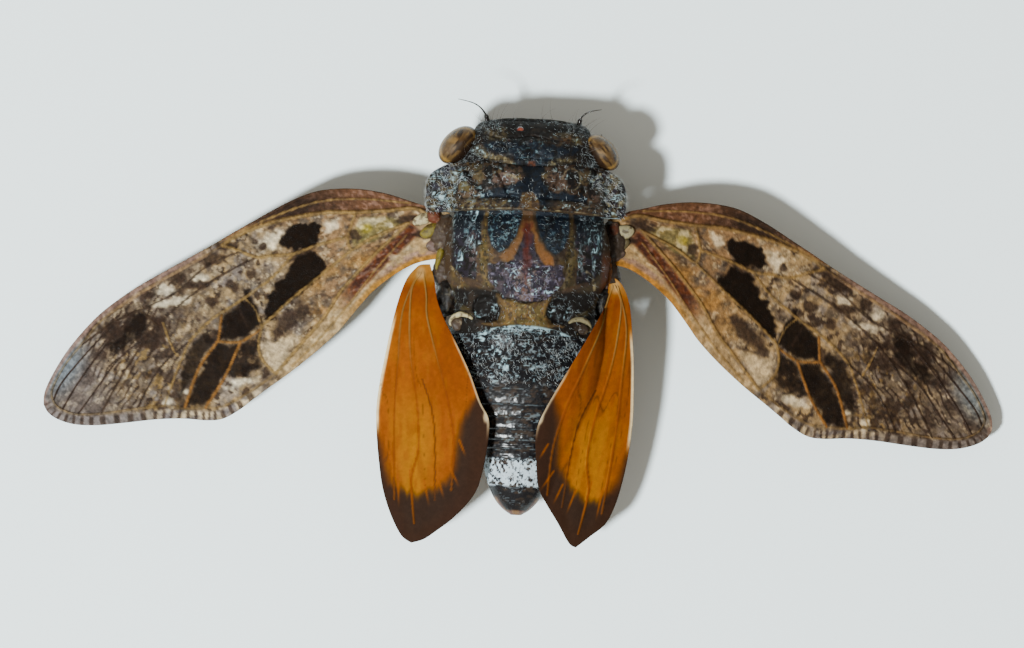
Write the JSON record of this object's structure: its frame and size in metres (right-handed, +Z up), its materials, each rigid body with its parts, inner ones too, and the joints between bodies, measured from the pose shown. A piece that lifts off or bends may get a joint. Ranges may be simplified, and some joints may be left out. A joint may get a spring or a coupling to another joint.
{
  "type": "cicada",
  "caption": "Life-size cicada standing on its feet with mottled forewings held out and down and orange hindwings over a dark body.",
  "frame": {"origin": "middle of the whole insect's box at floor height, under the hind part of the thorax", "axes": "+Y toward the head, +X to the insect's right, +Z up from the floor that the feet stand on"},
  "size_m": [0.0544, 0.0254, 0.0087],
  "materials": {
    "abdomen_band": "white wax bloom",
    "abdomen_front": "glossy black shell",
    "abdomen_middle": "glossy black shell",
    "abdomen_tip": "glossy black shell",
    "antenna_left": "dark bristle",
    "antenna_right": "dark bristle",
    "eye_left": "glossy brown facets",
    "eye_right": "glossy brown facets",
    "fore_femur_left": "brown shell",
    "fore_femur_right": "brown shell",
    "fore_tarsus_left": "dark brown shell",
    "fore_tarsus_right": "dark brown shell",
    "fore_tibia_left": "brown shell",
    "fore_tibia_right": "brown shell",
    "forewing_left": "mottled brown wing skin with ochre veins",
    "forewing_right": "mottled brown wing skin with ochre veins",
    "head": "glossy dark shell with ochre patches",
    "hind_femur_left": "brown shell",
    "hind_femur_right": "brown shell",
    "hind_tarsus_left": "dark brown shell",
    "hind_tarsus_right": "dark brown shell",
    "hind_tibia_left": "brown shell",
    "hind_tibia_right": "brown shell",
    "hindwing_left": "orange wing skin with a dark brown border",
    "hindwing_right": "orange wing skin with a dark brown border",
    "mesothorax": "mottled dark shell with olive marks",
    "mid_femur_left": "brown shell",
    "mid_femur_right": "brown shell",
    "mid_tarsus_left": "dark brown shell",
    "mid_tarsus_right": "dark brown shell",
    "mid_tibia_left": "brown shell",
    "mid_tibia_right": "brown shell",
    "operculum_left": "brown shell plate",
    "operculum_right": "brown shell plate",
    "pronotum": "mottled ochre and black shell",
    "rostrum": "brown shell"
  },
  "bodies": {
    "root": {"abdomen_band": "abdomen_band", "abdomen_front": "abdomen_front", "abdomen_middle": "abdomen_middle", "abdomen_tip": "abdomen_tip", "antenna_left": "antenna_left", "antenna_right": "antenna_right", "eye_left": "eye_left", "eye_right": "eye_right", "fore_femur_left": "fore_femur_left", "fore_femur_right": "fore_femur_right", "fore_tarsus_left": "fore_tarsus_left", "fore_tarsus_right": "fore_tarsus_right", "fore_tibia_left": "fore_tibia_left", "fore_tibia_right": "fore_tibia_right", "forewing_left": "forewing_left", "forewing_right": "forewing_right", "head": "head", "hind_femur_left": "hind_femur_left", "hind_femur_right": "hind_femur_right", "hind_tarsus_left": "hind_tarsus_left", "hind_tarsus_right": "hind_tarsus_right", "hind_tibia_left": "hind_tibia_left", "hind_tibia_right": "hind_tibia_right", "hindwing_left": "hindwing_left", "hindwing_right": "hindwing_right", "mesothorax": "mesothorax", "mid_femur_left": "mid_femur_left", "mid_femur_right": "mid_femur_right", "mid_tarsus_left": "mid_tarsus_left", "mid_tarsus_right": "mid_tarsus_right", "mid_tibia_left": "mid_tibia_left", "mid_tibia_right": "mid_tibia_right", "operculum_left": "operculum_left", "operculum_right": "operculum_right", "pronotum": "pronotum", "rostrum": "rostrum"}
  },
  "joints": []
}
